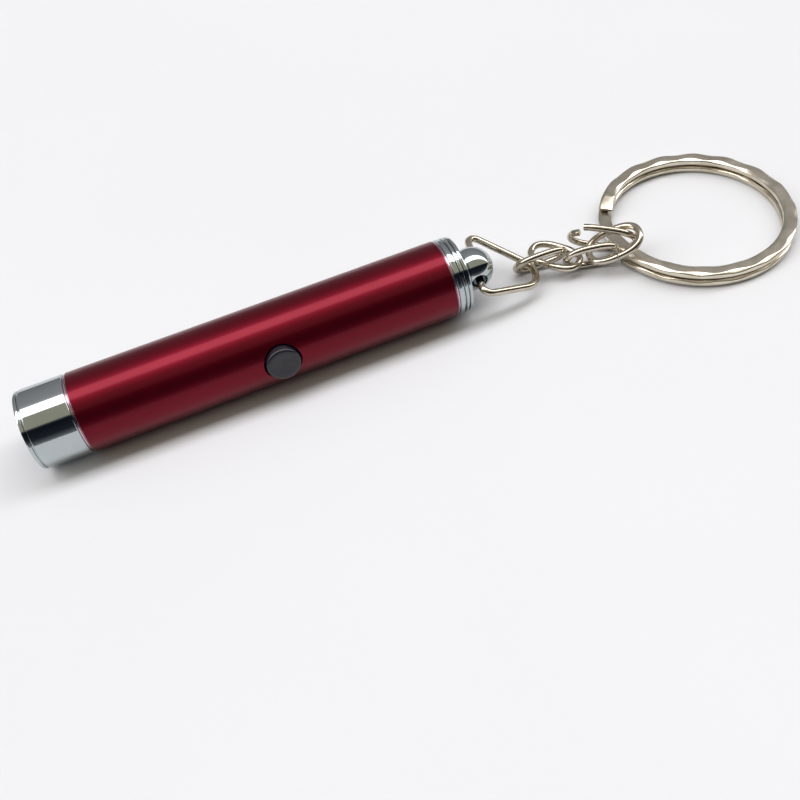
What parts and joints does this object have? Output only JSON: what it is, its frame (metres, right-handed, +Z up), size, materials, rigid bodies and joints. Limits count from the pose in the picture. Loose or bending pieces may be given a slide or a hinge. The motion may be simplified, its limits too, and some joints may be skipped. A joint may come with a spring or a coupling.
{
  "type": "keychain flashlight",
  "caption": "Slim metal pocket flashlight with a side push button, screw-in tail cap with ball eyelet, short chain and key ring.",
  "frame": {"origin": "bottom centre of the bounding box, on the surface that the flashlight and its key ring lie on", "axes": "+X along the barrel from the lens towards the key ring, +Z up; the button faces mostly -Y"},
  "size_m": [0.1439, 0.0361, 0.014],
  "materials": {
    "red_anodised": "gloss",
    "chrome": "polished",
    "nickel": "polished",
    "clear_plastic": "clear",
    "steel": "satin",
    "brass": "satin",
    "button_black": "gloss",
    "black_plastic": "matte",
    "white_plastic": "matte",
    "board_green": "satin"
  },
  "bodies": {
    "barrel": {"body_tube": "red_anodised", "head_bezel": "chrome", "lens": "clear_plastic", "reflector": "chrome", "led": "clear_plastic", "led_lead_positive": "steel", "led_lead_negative": "steel", "led_holder": "white_plastic", "circuit_board": "board_green", "resistor": "black_plastic", "board_cradle": "black_plastic", "switch_body": "black_plastic", "contact_disc": "brass", "contact_spring": "steel", "battery_cell_1": "steel", "battery_cell_2": "steel", "battery_cell_3": "steel"},
    "button": {"push_button": "button_black", "switch_plunger": "white_plastic"},
    "cap_spring": {"tail_spring": "steel"},
    "cap": {"tail_cap": "chrome"},
    "triangle": {"triangle_link": "nickel"},
    "link_1": {"chain_link_1": "nickel"},
    "link_2": {"chain_link_2": "nickel"},
    "link_3": {"chain_link_3": "nickel"},
    "link_4": {"chain_link_4": "nickel"},
    "connector": {"jump_ring": "nickel"},
    "key_ring": {"split_ring": "nickel"}
  },
  "joints": [
    {"name": "button_press", "type": "slide", "parent": "barrel", "child": "button", "axis": [0, 0.9848, -0.1736], "range_m": [0, 0.0006], "stiffness_N_per_m": 2500},
    {"name": "cap_slide", "type": "slide", "parent": "barrel", "child": "cap_spring", "axis": [1, 0, 0], "range_m": [0, 0.0045]},
    {"name": "cap_turn", "type": "hinge", "parent": "cap_spring", "child": "cap", "pos_m": [0.006, 0.0021, 0.007], "axis": [1, 0, 0], "range_deg": [0, 1800]},
    {"name": "triangle_swing", "type": "hinge", "parent": "cap", "child": "triangle", "pos_m": [0.0094, 0.0021, 0.0067], "axis": [-0.2251, -0.9743, 0], "range_deg": [-75, 115]},
    {"name": "link_1_swing", "type": "hinge", "parent": "triangle", "child": "link_1", "pos_m": [0.01951, 0.00256, 0.00302], "axis": [-0.3632, 0.9075, 0.2111], "range_deg": [-105, 165]},
    {"name": "link_2_swing", "type": "hinge", "parent": "link_1", "child": "link_2", "pos_m": [0.02657, 0.00121, 0.00382], "axis": [0.218, 0.4381, -0.8721], "range_deg": [-13, 45]},
    {"name": "link_3_swing", "type": "hinge", "parent": "link_2", "child": "link_3", "pos_m": [0.02815, -0.00152, 0.00246], "axis": [0.7668, 0.6409, 0.035], "range_deg": [-20, 42]},
    {"name": "link_4_swing", "type": "hinge", "parent": "link_3", "child": "link_4", "pos_m": [0.03508, -0.00304, 0.0036], "axis": [-0.156, -0.2231, 0.9622], "range_deg": [-46, 2]},
    {"name": "connector_swing", "type": "hinge", "parent": "link_4", "child": "connector", "pos_m": [0.03837, -0.00108, 0.0066], "axis": [0.6622, -0.7032, 0.2591], "range_deg": [-1, 28]},
    {"name": "key_ring_swing", "type": "hinge", "parent": "connector", "child": "key_ring", "pos_m": [0.03711, -0.00002, 0.00196], "axis": [0.9397, -0.3419, 0], "range_deg": [-5, 44]}
  ],
  "couplings": [
    {"joint": "cap_turn", "follows": "cap_slide", "rad_per_m": 6981.3}
  ]
}
